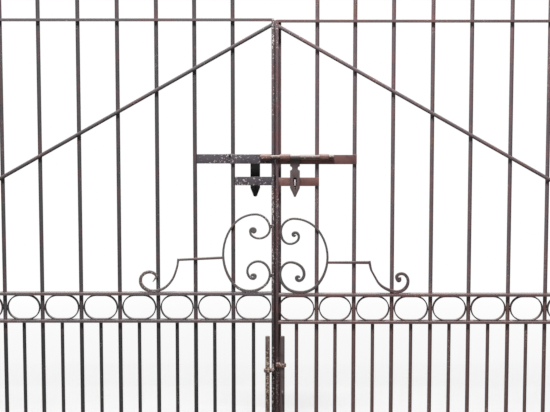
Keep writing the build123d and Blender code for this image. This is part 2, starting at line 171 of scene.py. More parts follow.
# %% [markdown]
# A pattern turns into a share between 0 and 1, which says how far a coat covers what lies under it.
# A Map Range node does this. It needs the pattern, where the coat starts to show, where it is
# full, and the share at both of these. A short range gives a hard edge, as a flake has, and a long
# one fades, as dust does.

# %% How far each coat covers the last one
def coat_shares(tree, place, patterns, shares):
    """How far each coat covers the colour so far, in the order in which they are laid."""
    patches, streaks, flakes = patterns
    along = add(tree, "ShaderNodeSeparateXYZ", {0: place})
    normal = add(tree, "ShaderNodeNewGeometry", {}).outputs["Normal"]
    upward = add(tree, "ShaderNodeSeparateXYZ", {0: normal})
    # below a height with an uneven edge, the low colour takes over
    edge = add(
        tree,
        "ShaderNodeMath",
        {0: patches, 1: 0.2, 2: along.outputs["Z"]},
        operation="MULTIPLY_ADD",
    )
    # what stands out in front of a depth is rubbed down to the iron
    depth = shares.get("rubbed", -1.0)
    ranges = {
        "under": (patches, shares["under"], shares["under"] + 0.12, 0.0, 1.0),
        "rust": (streaks, shares["rust"], shares["rust"] + 0.12, 0.0, 1.0),
        "low": (edge.outputs[0], shares["low"], shares["low"] + 0.05, 0.85, 0.0),
        "speck": (flakes, shares["speck"], shares["speck"] + 0.03, 0.0, 1.0),
        "bare": (along.outputs["Y"], depth - 4 * MM, depth, 1.0, 0.0),
        # on what faces up, dust, which is strong enough on the front bolt, the front hasp and the
        # rings to be a painted highlight
        "dust": (upward.outputs["Z"], 0.35, 0.95, 0.0, shares["dust"]),
    }
    return {
        coat: add(tree, "ShaderNodeMapRange", dict(enumerate(values))).outputs[0]
        for coat, values in ranges.items()
    }


# %% The paint material
bare_iron = "b9aaa6"


def old_paint(name, colours, shares):
    """Two coats of old paint over pitted iron, with rust streaks, pale specks, and dust on what
    faces up, which some finishes make strong enough to be a painted highlight.
    """
    material = bpy.data.materials.new(name)
    material.use_nodes = True
    tree = material.node_tree
    tree.nodes.clear()
    place = add(tree, "ShaderNodeTexCoord", {}).outputs["Object"]
    patterns = worn_patterns(tree, place, shares)
    patches, streaks, _ = patterns
    cover = coat_shares(tree, place, patterns, shares)

    # it starts as the upper coat all over, and each other coat then takes its share
    colour = linear(colours["upper"])
    for coat, share in cover.items():
        coat_colour = linear(colours.get(coat, bare_iron))
        laid = add(tree, "ShaderNodeMix", {0: share, 6: colour, 7: coat_colour}, data_type="RGBA")
        colour = laid.outputs[2]

    # pits of 2.5 mm, flakes sunk by the thickness of the paint, and marks of hammer and brush
    pits = add(
        tree,
        "ShaderNodeTexNoise",
        {"Vector": place, "Scale": size_mm(2.5), "Detail": 3.0, "Roughness": 0.6},
    )
    relief = (
        (pits.outputs["Fac"], 0.35, 1 * MM, False),
        (cover["speck"], 0.5, 0.4 * MM, True),
        (streaks, 0.3, 3 * MM, False),
    )
    normal = {}
    for height, strength, distance, sunk in relief:
        shape = {"Height": height, "Strength": strength, "Distance": distance}
        bump = add(tree, "ShaderNodeBump", {**shape, **normal}, invert=sunk)
        normal = {"Normal": bump.outputs["Normal"]}

    # chalked paint is matt, and the patches that kept their binder shine a little
    matt = add(tree, "ShaderNodeMapRange", {0: patches, 1: 0.3, 2: 0.7, 3: 0.5, 4: 0.72})
    surface = add(
        tree,
        "ShaderNodeBsdfPrincipled",
        {"Base Color": colour, "Roughness": matt.outputs[0], **normal},
    )
    add(tree, "ShaderNodeOutputMaterial", {"Surface": surface.outputs["BSDF"]})
    return material


print("coats over the upper one: under, rust, low, speck, bare and dust")

# %% [markdown]
# ## The finishes by slot
#
# The record gives every node a material slot, and each slot gets one finish here. The colours are
# those of each coat. The shares say where a coat starts in its pattern, so a higher number lets
# less of it show. Two are different: the share of dust is how thickly the pale cover lies on what
# faces up, which on a few pieces is a painted highlight, and `low` is a height in metres, about 0.1
# over the uneven edge below which the low colour shows. The left leaf kept its dark grey coat,
# while the right one has gone back to the maroon.

# %% One finish for each slot
finishes = {
    # matt dark grey, with purplish patches where the maroon coat shows
    "left_leaf_paint": old_paint(
        "old_dark_grey_alkyd_paint_over_wrought_iron",
        {
            "upper": "5c585b", "under": "6d575a", "rust": "785c4e",
            "low": "454243", "speck": "cbbdb8", "dust": "b3a8a9",
        },
        {"under": 0.5, "rust": 0.62, "low": 0.55, "speck": 0.95, "dust": 0.6},
    ),
    # faded maroon with a grey bloom, browner below the band
    "right_leaf_paint": old_paint(
        "old_maroon_alkyd_paint_over_wrought_iron",
        {
            "upper": "786a70", "under": "8a6a6e", "rust": "846656",
            "low": "7b605e", "speck": "c9b7ac", "dust": "b9a6a5",
        },
        {"under": 0.47, "rust": 0.57, "low": 0.68, "speck": 0.91, "dust": 0.65},
    ),
    # reddish brown iron with large pale flakes, where hands and sliding keep the paint off
    "worn_iron": old_paint(
        "rubbed_rusty_wrought_iron",
        {
            "upper": "95706a", "under": "76534f", "rust": "9f6c5a",
            "low": "80605a", "speck": "dccdc2", "dust": "dccbc4",
        },
        {"under": 0.47, "rust": 0.56, "low": 0.05, "speck": 0.87, "dust": 0.75, "flake": 7},
    ),
    # a smooth brownish grey plate
    "hasp_iron": old_paint(
        "painted_wrought_iron_plate",
        {
            "upper": "5f5456", "under": "6e5452", "rust": "7d6048",
            "low": "5f5456", "speck": "b5a184", "dust": "988c88",
        },
        {"under": 0.5, "rust": 0.6, "low": 0.05, "speck": 0.93, "dust": 0.4},
    ),
    # the left leaf's grey on a wide even surface, darker at the foot
    "post_paint": old_paint(
        "old_dark_grey_alkyd_paint_over_steel_section",
        {
            "upper": "5b585a", "under": "6b585b", "rust": "7d5b4b",
            "low": "454243", "speck": "b3a49c", "dust": "9b9394",
        },
        {"under": 0.54, "rust": 0.64, "low": 0.15, "speck": 0.96, "dust": 0.5},
    ),
}
print(len(finishes), "finishes, one for each slot")

# %% [markdown]
# ## Finishes of single pieces
#
# Two pieces of one leaf had the same paint once, but hands, rain and sliding iron have worn them
# apart. The coats and patterns are the same as before, and only their colours and shares differ.
# Some have larger flakes, with `flake` in millimetres, and on one the iron is rubbed bare in front
# of the depth `rubbed`, in metres.

# %% The bolts, the hasps and the latch bars
own_finishes = {
    # light grey along the top, where the loops rub, and its near-white upward faces are a painted
    # highlight
    "front_bolt": old_paint(
        "iron_rubbed_by_sliding_with_a_painted_top_highlight",
        {
            "upper": "7e6964", "under": "5c453e", "rust": "7a5142",
            "low": "6f5850", "speck": "e6dcd2", "dust": "ece0da",
        },
        {"under": 0.48, "rust": 0.55, "low": 0.05, "speck": 0.88, "dust": 0.85, "flake": 6},
    ),
    # a dull plate, and a painted highlight: the top of the eye that turns round the bolt is made
    # near white
    "front_hasp": old_paint(
        "hasp_plate_with_a_painted_highlight_on_its_eye",
        {
            "upper": "685b5d", "under": "775b59", "rust": "86674f",
            "low": "685b5d", "speck": "b5a184", "dust": "f4ece6",
        },
        {"under": 0.5, "rust": 0.6, "low": 0.05, "speck": 0.95, "dust": 1.0},
    ),
    # nearly black, as neither rain nor sun reaches it
    "rear_hasp": old_paint(
        "black_alkyd_paint_on_a_sheltered_wrought_iron_plate",
        {
            "upper": "262424", "under": "2c2727", "rust": "3a2f2c",
            "low": "262424", "speck": "5e5650", "dust": "4a4646",
        },
        {"under": 0.55, "rust": 0.66, "low": 0.05, "speck": 0.98, "dust": 0.3},
    ),
    # blue-grey with many pale flakes
    "left_latch_bars": old_paint(
        "flaking_dark_grey_paint_on_flat_bar",
        {
            "upper": "645f66", "under": "58505a", "rust": "7a5a55",
            "low": "645f66", "speck": "d6c4c6", "dust": "b3a8a9",
        },
        {"under": 0.5, "rust": 0.66, "low": 0.05, "speck": 0.85, "dust": 0.6, "flake": 7},
    ),
    # brick red, and bare on the staple that stands out through the hasp
    "right_latch_bars": old_paint(
        "red_lead_primer_through_maroon_paint",
        {
            "upper": "875f5c", "under": "684b4c", "rust": "93654f", "low": "6a5253",
            "speck": "c9a898", "dust": "b9a09c", "bare": "e0d2d2",
        },
        {"under": 0.46, "rust": 0.54, "low": 0.05, "speck": 0.93, "dust": 0.6, "rubbed": -0.03},
    ),
    # beige mud in spots on brown iron
    "left_drop_bolt": old_paint(
        "sandy_mud_dried_on_wrought_iron",
        {
            "upper": "907a76", "under": "6f5452", "rust": "805f50",
            "low": "5b4a46", "speck": "d6c3aa", "dust": "a39a90",
        },
        {"under": 0.48, "rust": 0.57, "low": 0.1, "speck": 0.85, "dust": 0.5, "flake": 7},
    ),
    # even brown, as its paint is worn thin
    "right_drop_bolt": old_paint(
        "brown_worn_paint_on_wrought_iron",
        {
            "upper": "7a6a6b", "under": "614f51", "rust": "7d5850",
            "low": "614f51", "speck": "94857c", "dust": "a0948f",
        },
        {"under": 0.52, "rust": 0.58, "low": 0.1, "speck": 0.97, "dust": 0.5},
    ),
}
print(len(own_finishes), "finishes on the bolts, the hasps and the latch bars")

# %% The rings and the meeting stiles
own_finishes |= {
    # painted shade: the rings are darkened, as their thin bar lies in the shade of the rail above,
    # and their strong dust brightens the upward faces of the lower strands as a painted highlight
    "left_band_rings": old_paint(
        "dark_grey_paint_on_thin_rings",
        {
            "upper": "484547", "under": "574a4c", "rust": "6b5348",
            "low": "454243", "speck": "b8aaa5", "dust": "b0a5a6",
        },
        {"under": 0.5, "rust": 0.62, "low": 0.05, "speck": 0.95, "dust": 0.85},
    ),
    "right_band_rings": old_paint(
        "dark_maroon_paint_on_thin_rings",
        {
            "upper": "5b4649", "under": "63494b", "rust": "6f5345",
            "low": "584648", "speck": "b8a59e", "dust": "b9a6a5",
        },
        {"under": 0.5, "rust": 0.58, "low": 0.05, "speck": 0.95, "dust": 0.85},
    ),
    # edges that knock together flake most, so these are the most speckled
    "left_meeting_stile": old_paint(
        "flaking_dark_grey_paint_on_a_stile",
        {
            "upper": "665f62", "under": "755a5c", "rust": "80604f",
            "low": "4f4b4c", "speck": "d9cdc8", "dust": "b3a8a9",
        },
        {"under": 0.5, "rust": 0.62, "low": 0.55, "speck": 0.86, "dust": 0.6, "flake": 6},
    ),
    "right_meeting_stile": old_paint(
        "flaking_maroon_paint_on_a_stile",
        {
            "upper": "735f63", "under": "7e595c", "rust": "7f6152",
            "low": "5e4b4e", "speck": "d6c6c0", "dust": "b9a6a5",
        },
        {"under": 0.47, "rust": 0.6, "low": 0.6, "speck": 0.9, "dust": 0.65},
    ),
}
print(len(own_finishes), "finishes with the rings and the meeting stiles")

# %% The scrolls
own_finishes |= {
    # grey that has weathered paler than the bars, with scattered flakes
    "left_big_scroll": old_paint(
        "weathered_grey_paint_on_a_forged_scroll",
        {
            "upper": "6f6a6b", "under": "7b6a6a", "rust": "846a5c",
            "low": "5f5a5b", "speck": "cfc3bd", "dust": "c0b6b4",
        },
        {"under": 0.5, "rust": 0.62, "low": 0.05, "speck": 0.86, "dust": 0.8, "flake": 6},
    ),
    "right_big_scroll": old_paint(
        "weathered_grey_brown_paint_on_a_forged_scroll",
        {
            "upper": "696465", "under": "725f62", "rust": "7c6455",
            "low": "5f5a5b", "speck": "cfc3bd", "dust": "c4b9b5",
        },
        {"under": 0.52, "rust": 0.6, "low": 0.05, "speck": 0.9, "dust": 0.8, "flake": 6},
    ),
    # the arms and hooks keep more of the maroon
    "left_side_scroll": old_paint(
        "faded_maroon_grey_paint_on_a_forged_scroll",
        {
            "upper": "75686a", "under": "7c6566", "rust": "806457",
            "low": "5f5a5b", "speck": "c9bab5", "dust": "b9adab",
        },
        {"under": 0.5, "rust": 0.6, "low": 0.05, "speck": 0.88, "dust": 0.8, "flake": 6},
    ),
    "right_side_scroll": old_paint(
        "faded_maroon_paint_on_a_forged_scroll",
        {
            "upper": "6c5a5e", "under": "76595b", "rust": "7b5f52",
            "low": "5f5456", "speck": "c6b4ae", "dust": "b9a9a6",
        },
        {"under": 0.5, "rust": 0.6, "low": 0.05, "speck": 0.92, "dust": 0.7, "flake": 6},
    ),
}
print(len(own_finishes), "finishes with the scrolls")

# %% The rails
# rails chalk more than bars, because rain and dust lie on them, so they look paler
chalked = {
    "left": old_paint(
        "chalked_dark_grey_paint_on_a_rail",
        {
            "upper": "766e71", "under": "81676a", "rust": "8d6c62",
            "low": "766e71", "speck": "cbbdb8", "dust": "c8bcbc",
        },
        {"under": 0.5, "rust": 0.6, "low": 0.05, "speck": 0.94, "dust": 0.8},
    ),
    "right": old_paint(
        "chalked_maroon_paint_on_a_rail",
        {
            "upper": "867074", "under": "916c6c", "rust": "8c6f5d",
            "low": "867074", "speck": "cbb9ae", "dust": "c9b6b4",
        },
        {"under": 0.47, "rust": 0.58, "low": 0.05, "speck": 0.94, "dust": 0.8},
    ),
}
for leaf in sides:
    for rail in ("band_top_rail", "band_bottom_rail", "top_rail", "bottom_rail"):
        own_finishes[leaf + "_" + rail] = chalked[leaf]
print(len(own_finishes), "nodes have a finish of their own")

# %% Paint the CAD nodes
slot_of = {row["node"]: row["material_slot"] for row in frame["record"]["subparts"]}
body_of = {
    node: body
    for body, nodes in frame["record"]["behaviour"]["bodies"].items()
    for node in nodes
}
for node, part in frame["nodes"].items():
    part.data.materials.clear()
    part.data.materials.append(own_finishes.get(node, finishes[slot_of[node]]))
print("painted", len(frame["nodes"]), "nodes")

# %% [markdown]
# ## Rounded edges
#
# Rolled flat bar never has a knife edge, and paint rounds it further. A thin line of light along
# each edge is what makes iron look solid. The CAD mesh itself stays as it is, so a copy is merged,
# gets a small bevel where its faces meet at a sharp angle, and stands for the node.

# %% Helpers that select, apply and finish
smooth_angle = math.radians(35)


def only(piece):
    """Select one piece and nothing else."""
    bpy.ops.object.select_all(action="DESELECT")
    piece.select_set(True)
    bpy.context.view_layer.objects.active = piece


def apply_modifier(piece, kind, **settings):
    """Add a modifier with its settings and apply it."""
    only(piece)
    modifier = piece.modifiers.new(kind.lower(), kind)
    for name, value in settings.items():
        setattr(modifier, name, value)
    bpy.ops.object.modifier_apply(modifier=modifier.name)


def finish_piece(piece, body, slot, finish=None):
    """Smooth a finished piece, and give it its body and a finish, its own or that of its slot."""
    only(piece)
    bpy.ops.object.transform_apply(location=True, rotation=True, scale=True)
    bpy.ops.object.shade_smooth_by_angle(angle=smooth_angle)
    piece.data.materials.clear()
    piece.data.materials.append(finish or finishes[slot])
    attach(piece, body)


# %% Round the edges of flat and turned pieces
flat_angle, sharp_angle = math.radians(1), math.radians(50)


def rounded(node, edge):
    """A copy of a CAD node with rounded edges, which stands for it."""
    piece = bpy.data.objects.new(node + "_rounded", frame["nodes"][node].data.copy())
    bpy.context.scene.collection.objects.link(piece)
    only(piece)
    bpy.ops.object.mode_set(mode="EDIT")
    bpy.ops.mesh.select_all(action="SELECT")
    bpy.ops.mesh.remove_doubles(threshold=0.01 * MM)
    bpy.ops.mesh.dissolve_limited(angle_limit=flat_angle)
    bpy.ops.object.mode_set(mode="OBJECT")
    apply_modifier(
        piece,
        "BEVEL",
        width=edge,
        segments=2,
        limit_method="ANGLE",
        angle_limit=sharp_angle,
        use_clamp_overlap=True,
    )
    finish_piece(piece, body_of[node], slot_of[node], own_finishes.get(node))
    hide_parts(node)
    return piece


edges = {
    "rail": 1.2 * MM,
    "stile": 1.2 * MM,
    "closing_bar": 1.2 * MM,
    "latch_bars": 1.2 * MM,
    "band_rings": 0.8 * MM,
    "bolt_loops": 1 * MM,
    "hasp": 0.8 * MM,
    "drop_guides": 1 * MM,
    "hinge_eyes": 1.2 * MM,
    "hinge_pins": 1.2 * MM,
    "post": 3 * MM,
    "post_cap": 2 * MM,
}
for node in sorted(frame["nodes"]):
    for ending, edge in edges.items():
        if node.endswith(ending):
            piece = rounded(node, edge)
            print(piece.name, len(piece.data.polygons), "faces")

# %% [markdown]
# ## Forged scrolls
#
# A smith draws a square bar out thin, bends it round the horn and rolls its end up tight. So here:
# one face across the bar is spun round each turn in small steps, and after each step it is scaled,
# so that the bar swells at its foot and thins towards the roll. A turn is written as its radius,
# its angle, and the width that the bar has at its end. A straight run has no radius, and its length
# stands in place of the angle. A curve with a bevel could do this too, but it keeps one section.

# %% Bend a bar round its turns
scroll_depth = high("left_big_scroll").y - low("left_big_scroll").y
scroll_y = (high("left_big_scroll").y + low("left_big_scroll").y) / 2
step_degrees = 6
corner_radius = 2.6 * MM


def on_face(side, u, z):
    """A point in the plane of the scrolls, u from the gate's middle."""
    return Vector((middle_x + sides[side] * u, scroll_y, z))


def face_bar(side, u, z, heading, width, depth):
    """One face across a bar with rounded corners, at the point where the bar starts."""
    hand = sides[side]
    bpy.ops.object.select_all(action="DESELECT")
    bpy.ops.mesh.primitive_plane_add(size=1, location=on_face(side, u, z))
    face = bpy.context.object
    along_x = heading if hand > 0 else math.pi - heading
    face.rotation_euler = (0, math.pi / 2 - along_x, 0)
    face.scale = (width, depth, 1)
    bpy.ops.object.transform_apply(location=True, rotation=True, scale=True)
    bpy.ops.object.mode_set(mode="EDIT")
    bpy.ops.mesh.select_all(action="SELECT")
    bpy.ops.mesh.bevel(offset=corner_radius, segments=3, affect="VERTICES")
    bpy.ops.object.mode_set(mode="OBJECT")
    return face


def bend_bar(name, side, start, heading, width, turns, depth=scroll_depth):
    """Spin one face round a run of turns, and swell or thin the bar on the way."""
    u, z = start
    heading, width = math.radians(heading), width * MM
    bar = face_bar(side, u, z, heading, width, depth)
    bar.name = name
    bpy.ops.object.mode_set(mode="EDIT")
    bpy.ops.mesh.select_all(action="SELECT")
    for radius, turn, end_width in turns:
        radius, start_width = radius * MM, width
        steps = max(1, round(abs(turn) / step_degrees)) if radius else 4
        for step in range(1, steps + 1):
            before = on_face(side, u, z)
            if radius:
                hand, angle = math.copysign(1, turn), math.radians(turn) / steps
                centre_u = u - hand * radius * math.sin(heading)
                centre_z = z + hand * radius * math.cos(heading)
                heading += angle
                u = centre_u + hand * radius * math.sin(heading)
                z = centre_z - hand * radius * math.cos(heading)
                bpy.ops.mesh.spin(
                    steps=1,
                    angle=abs(angle),
                    center=on_face(side, centre_u, centre_z),
                    axis=(0, sides[side] * hand, 0),
                )
            else:
                u += turn * MM / steps * math.cos(heading)
                z += turn * MM / steps * math.sin(heading)
                bpy.ops.mesh.extrude_region_move(
                    TRANSFORM_OT_translate={"value": on_face(side, u, z) - before}
                )
            new_width = start_width + (end_width * MM - start_width) * step / steps
            grow = new_width / width
            bpy.ops.transform.resize(value=(grow, 1, grow), center_override=on_face(side, u, z))
            width = new_width
    bpy.ops.mesh.select_all(action="SELECT")
    bpy.ops.mesh.normals_make_consistent(inside=False)
    bpy.ops.object.mode_set(mode="OBJECT")
    return bar, (u, z)


# %% Join bars to one piece that stands for a node
def join(name, pieces):
    """Make one piece of several."""
    bpy.ops.object.select_all(action="DESELECT")
    for piece in pieces:
        piece.select_set(True)
    bpy.context.view_layer.objects.active = pieces[0]
    bpy.ops.object.join()
    pieces[0].name = name
    return pieces[0]


def forged(name, bars, leaf, node):
    """Join forged bars and let them stand for a CAD node."""
    piece = join(name, bars)
    finish_piece(piece, leaf + "_leaf", leaf + "_leaf_paint", own_finishes[node])
    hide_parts(node)
    print(name, len(piece.data.polygons), "faces")


# %% The big scrolls
# from the foot: round the side, over the top, then in against the stile and round
foot_u = 103 * MM
foot_width = 12.5
big_turns = {
    "left": {
        "contact_u": 20.5,
        "side": [(84, 52, 10.5), (190, 38, 8.5), (197.5, 37, 8), (113.5, 53, 8.5)],
        "inward": 8,
        "upper": [
            (36, 45, 8.5), (47, 45, 8), (43, 45, 8.5), (15, 38, 9), (0, 7, 9.5),
            (11, 97, 11), (8.8, 90, 12.5), (6, 90, 12), (4.2, 90, 11), (2.6, 150, 9),
        ],
        "to_stile": [(91, 45, 9.5), (60, 45, 9)],
        "lower": [
            (57, 45, 9.5), (43, 45, 9.5), (46, 45, 8.5), (38, 45, 9), (35, 45, 10),
            (16.5, 45, 12), (9.2, 90, 14), (5.5, 60, 13.5), (7, 90, 13), (2, 90, 10),
        ],
    },
    "right": {
        "contact_u": 24,
        "side": [(92, 52, 10.5), (174, 38, 8.5), (180, 37, 8.5), (125, 53, 8.5)],
        "inward": 8.5,
        "upper": [
            (77, 22, 9), (34, 68, 8.5), (40, 45, 8.5), (23.5, 45, 9.5), (20, 45, 11),
            (12, 45, 11.5), (11, 45, 11.5), (6, 45, 11.5), (5, 90, 11), (4, 80, 9),
        ],
        "to_stile": [(104, 20, 12), (70, 50, 11), (79, 20, 10)],
        "lower": [
            (53, 45, 9), (37, 45, 9.5), (60, 45, 11), (44, 45, 12), (30, 45, 11.5),
            (16.5, 45, 12.5), (10.2, 90, 13.5), (5.5, 90, 13), (4.5, 90, 11),
        ],
    },
}
for leaf, turns in big_turns.items():
    foot = (foot_u, high(leaf + "_band_top_rail").z + foot_width / 2 * MM)
    name = leaf + "_big_scroll_forged"
    # the turn against the stile has what radius is left
    reach = foot_u
    heading = 0
    for radius, angle, _ in turns["side"]:
        turned = heading + math.radians(angle)
        reach += radius * MM * (math.sin(turned) - math.sin(heading))
        heading = turned
    inward = (reach / MM - turns["contact_u"], 90, turns["inward"])
    upper, _ = bend_bar(
        name, leaf, foot, 0, foot_width, turns["side"] + [inward] + turns["upper"]
    )
    # the lower half turns the other way, but its straight runs stay as they are
    lower_turns = [
        (radius, -angle if radius else angle, width)
        for radius, angle, width in turns["to_stile"] + turns["lower"]
    ]
    lower, _ = bend_bar(name + "_low", leaf, foot, 180, foot_width, lower_turns)
    forged(name, [upper, lower], leaf, leaf + "_big_scroll")

# %% [markdown]
# Each side scroll is two bars. The level arm leaves the side of the big scroll, and at its end a
# second bar falls to the band and closes in a hook, which swells where the smith left it thick. The
# two meet in a sharp corner, which one spun bar could not have, so they are bent apart and joined.

# %% The side scrolls
# the arm has its heading and its width at both ends, the corner has its distance from the gate's
# middle and the heading and width of the fall, and the hook has its turns
side_turns = {
    "left": {
        "arm": (-2.8, 10, 9),
        "corner": (395.5, -84, 8.5),
        "hook": [
            (0, 15, 8), (130, 12, 8), (0, 18.5, 8), (120, 27, 9), (86, 45, 13),
            (56, 45, 15), (38, 45, 12.5), (34, 45, 12.5), (38, 45, 12.5),
            (32, 60, 11), (5, 67, 10), (0, 24, 2),
        ],
    },
    "right": {
        "arm": (0, 9.5, 12),
        "corner": (386.5, -79, 10.5),
        "hook": [
            (0, 26, 9), (62, 18, 7.5), (0, 40, 8), (77, 29, 11), (145, 16, 13),
            (66, 16, 13), (46, 45, 14), (42, 45, 11.5), (34, 45, 12), (24.7, 45, 12),
            (21.7, 45, 12.5), (10.8, 45, 13), (24, 35, 12), (5, 150, 11), (0, 9, 11),
        ],
    },
}
# the arm's end is let into the big scroll, and each bar is a little thinner than the one that it
# meets, so that no two of their faces lie in one plane
let_in, arm_half = 3 * MM, 5 * MM
arm_depth, hook_depth = 0.98 * scroll_depth, 0.96 * scroll_depth
for leaf, turns in side_turns.items():
    scroll_low, scroll_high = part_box(leaf + "_side_scroll")
    near_x = scroll_low.x if sides[leaf] > 0 else scroll_high.x
    arm_z = scroll_high.z - arm_half
    start_u = abs(near_x - middle_x) - let_in
    heading, arm_width, end_width = turns["arm"]
    corner_u, fall, fall_width = turns["corner"]
    name = leaf + "_side_scroll_forged"
    straight = [(0, corner_u - start_u / MM, end_width)]
    start = (start_u, arm_z)
    arm, (u, z) = bend_bar(name, leaf, start, heading, arm_width, straight, arm_depth)
    # the fall starts at the arm's upper edge, and its outer side is flush with the arm's end
    top = (u - fall_width / 2 * MM, z + end_width / 2 * MM)
    fall_name = name + "_fall"
    hook, end = bend_bar(fall_name, leaf, top, fall, fall_width, turns["hook"], hook_depth)
    forged(name, [arm, hook], leaf, leaf + "_side_scroll")
    print("hook ends at u, z =", [round(v, 3) for v in end])

# %% [markdown]
# ## Welds
#
# The old joints were riveted or wedged, and every later repair is a stick weld: a lumpy bead that
# was never ground off and that rusts first. One bead is modelled from a ball whose points are
# pushed about and smoothed again, and its copies are stretched and turned to fit each joint.

# %% One weld bead, and how it is copied
bpy.ops.object.select_all(action="DESELECT")
bpy.ops.mesh.primitive_ico_sphere_add(subdivisions=1, radius=0.55)
first_bead = bpy.context.object
first_bead.name = "first_bead"
bpy.ops.object.mode_set(mode="EDIT")
bpy.ops.mesh.select_all(action="SELECT")
bpy.ops.transform.vertex_random(offset=0.11, uniform=0.6, seed=3)
bpy.ops.mesh.vertices_smooth(factor=0.3)
bpy.ops.object.mode_set(mode="OBJECT")
apply_modifier(first_bead, "SUBSURF", levels=1)


def bead(centre, size, turn):
    """A copy of the bead with its own mesh, its size in millimetres."""
    copy = bpy.data.objects.new("bead", first_bead.data.copy())
    bpy.context.scene.collection.objects.link(copy)
    copy.location = centre
    copy.scale = Vector(size) * MM
    copy.rotation_euler = (0, math.radians(turn), 0)
    only(copy)
    bpy.ops.object.transform_apply(location=True, rotation=True, scale=True)
    return copy


def welds(name, beads, body, slot, finish=None):
    """Join the beads of one kind into one piece, and finish it."""
    piece = join(name, beads)
    finish_piece(piece, body, slot, finish)
    print(name, len(piece.data.polygons), "faces")


print("one bead has", len(first_bead.data.polygons), "faces")

# %% [markdown]
# The rings are held by a bead on each side of every bar. So the bars' places have to be found: all
# the points of a node are sorted along x, and a wide gap means that the next bar starts.

# %% Beads between the rings and the bars
def stretches(node):
    """Where each separate bar of a node starts and ends along x."""
    # a gap is wider than the steps between the points of one bar
    gap = 5 * MM
    part = frame["nodes"][node]
    places = sorted((part.matrix_world @ v.co).x for v in part.data.vertices)
    ends = [[places[0], places[0]]]
    for x in places:
        if x - ends[-1][1] > gap:
            ends.append([x, x])
        ends[-1][1] = x
    return ends


for leaf in sides:
    ring_low, ring_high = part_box(leaf + "_band_rings")
    ring_y, ring_z = (ring_low.y + ring_high.y) / 2, (ring_low.z + ring_high.z) / 2
    beads = []
    for number, bar_sides in enumerate(stretches(leaf + "_bars")):
        # a hand-made row is never level, so the pairs sit up to 2 mm too low or too high
        z = ring_z + (number % 3 - 1) * 2 * MM
        for x in bar_sides:
            beads.append(bead((x, ring_y, z), (7, 18, 17), 8 * number))
    welds(leaf + "_ring_welds", beads, leaf + "_leaf", leaf + "_leaf_paint")

# %% [markdown]
# The larger beads of the right leaf have shed their paint, and get a finish of their own, which is
# brown rust with little gloss. A scroll has beads where its back meets the stile, and under each
# foot. A bead is written as its distance from the gate's middle, its height over the band, and its
# size, all in millimetres.

# %% Beads under and beside the scrolls
rusty_weld = old_paint(
    "rusted_weld_bead",
    {
        "upper": "7a5a58", "under": "85605a", "rust": "8a6048",
        "low": "7a5a58", "speck": "b09a8c", "dust": "a08c86",
    },
    {"under": 0.5, "rust": 0.56, "low": 0.05, "speck": 0.97, "dust": 0.45},
)
bare_welds = {"left": None, "right": rusty_weld}
foot_mm = foot_u / MM
scroll_welds = {
    "left": [
        # two at the stile, two at the foot of the big scroll, and two under the hook
        (16.5, 270, (12, 12, 26)),
        (16.5, 70, (11, 12, 24)),
        (foot_mm - 26, 3, (34, 16, 9)),
        (foot_mm + 24, 3, (30, 16, 9)),
        (493, 4, (42, 17, 11)),
        (467, 13, (19, 18, 15)),
    ],
    "right": [
        # the same, but one more lump at each foot has run down over the rail
        (19, 250, (8, 12, 40)),
        (19, 74, (9, 12, 40)),
        (foot_mm - 22, 2, (30, 16, 10)),
        (foot_mm + 20, 2, (30, 16, 10)),
        (foot_mm - 2, -5, (42, 26, 12)),
        (489, 3, (40, 20, 18)),
        (488, -4, (32, 28, 13)),
    ],
}
for leaf, joints in scroll_welds.items():
    foot_z = high(leaf + "_band_top_rail").z
    beads = []
    for number, (u, up, size) in enumerate(joints):
        beads.append(bead(on_face(leaf, u * MM, foot_z + up * MM), size, 3 * number))
    name = leaf + "_scroll_welds"
    welds(name, beads, leaf + "_leaf", leaf + "_leaf_paint", bare_welds[leaf])

# %% [markdown]
# The latch bars cross a bar of their leaf, and a bead runs along that joint above and below. The
# front staple is welded to its latch bar too, so its foot swells into a lump at the lower edge.

# %% Beads on the latch bars
latch_bar_height = 37 * MM
latch_weld_y = -8 * MM
staple_foot_y = -16 * MM
for leaf, hand in sides.items():
    latch_low, latch_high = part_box(leaf + "_latch_bars")
    # the left one is made of two lengths, which meet beside its first upright bar, and the right
    # one ends on its second
    bars = stretches(leaf + "_bars")
    weld_x = sum(bars[1]) / 2 if hand > 0 else bars[-1][0]
    beads = []
    for z, width in ((latch_high.z, 30), (latch_high.z - latch_bar_height, 14)):
        beads.append(bead((weld_x, latch_weld_y, z), (width, 14, 9), 4))
    if hand > 0:
        hasp_low, hasp_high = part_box("front_hasp")
        staple_x = (hasp_low.x + hasp_high.x) / 2
        beads.append(bead((staple_x, staple_foot_y, latch_low.z), (24, 13, 17), 2))
    name = leaf + "_latch_welds"
    welds(name, beads, leaf + "_leaf", leaf + "_leaf_paint", bare_welds[leaf])

# %% [markdown]
# Each drop bolt slides in a guide whose tail is welded to the inner face of the meeting stile. Each
# hinge eye sits on a tongue, and a row of short beads holds it to the hinge stile from both sides.

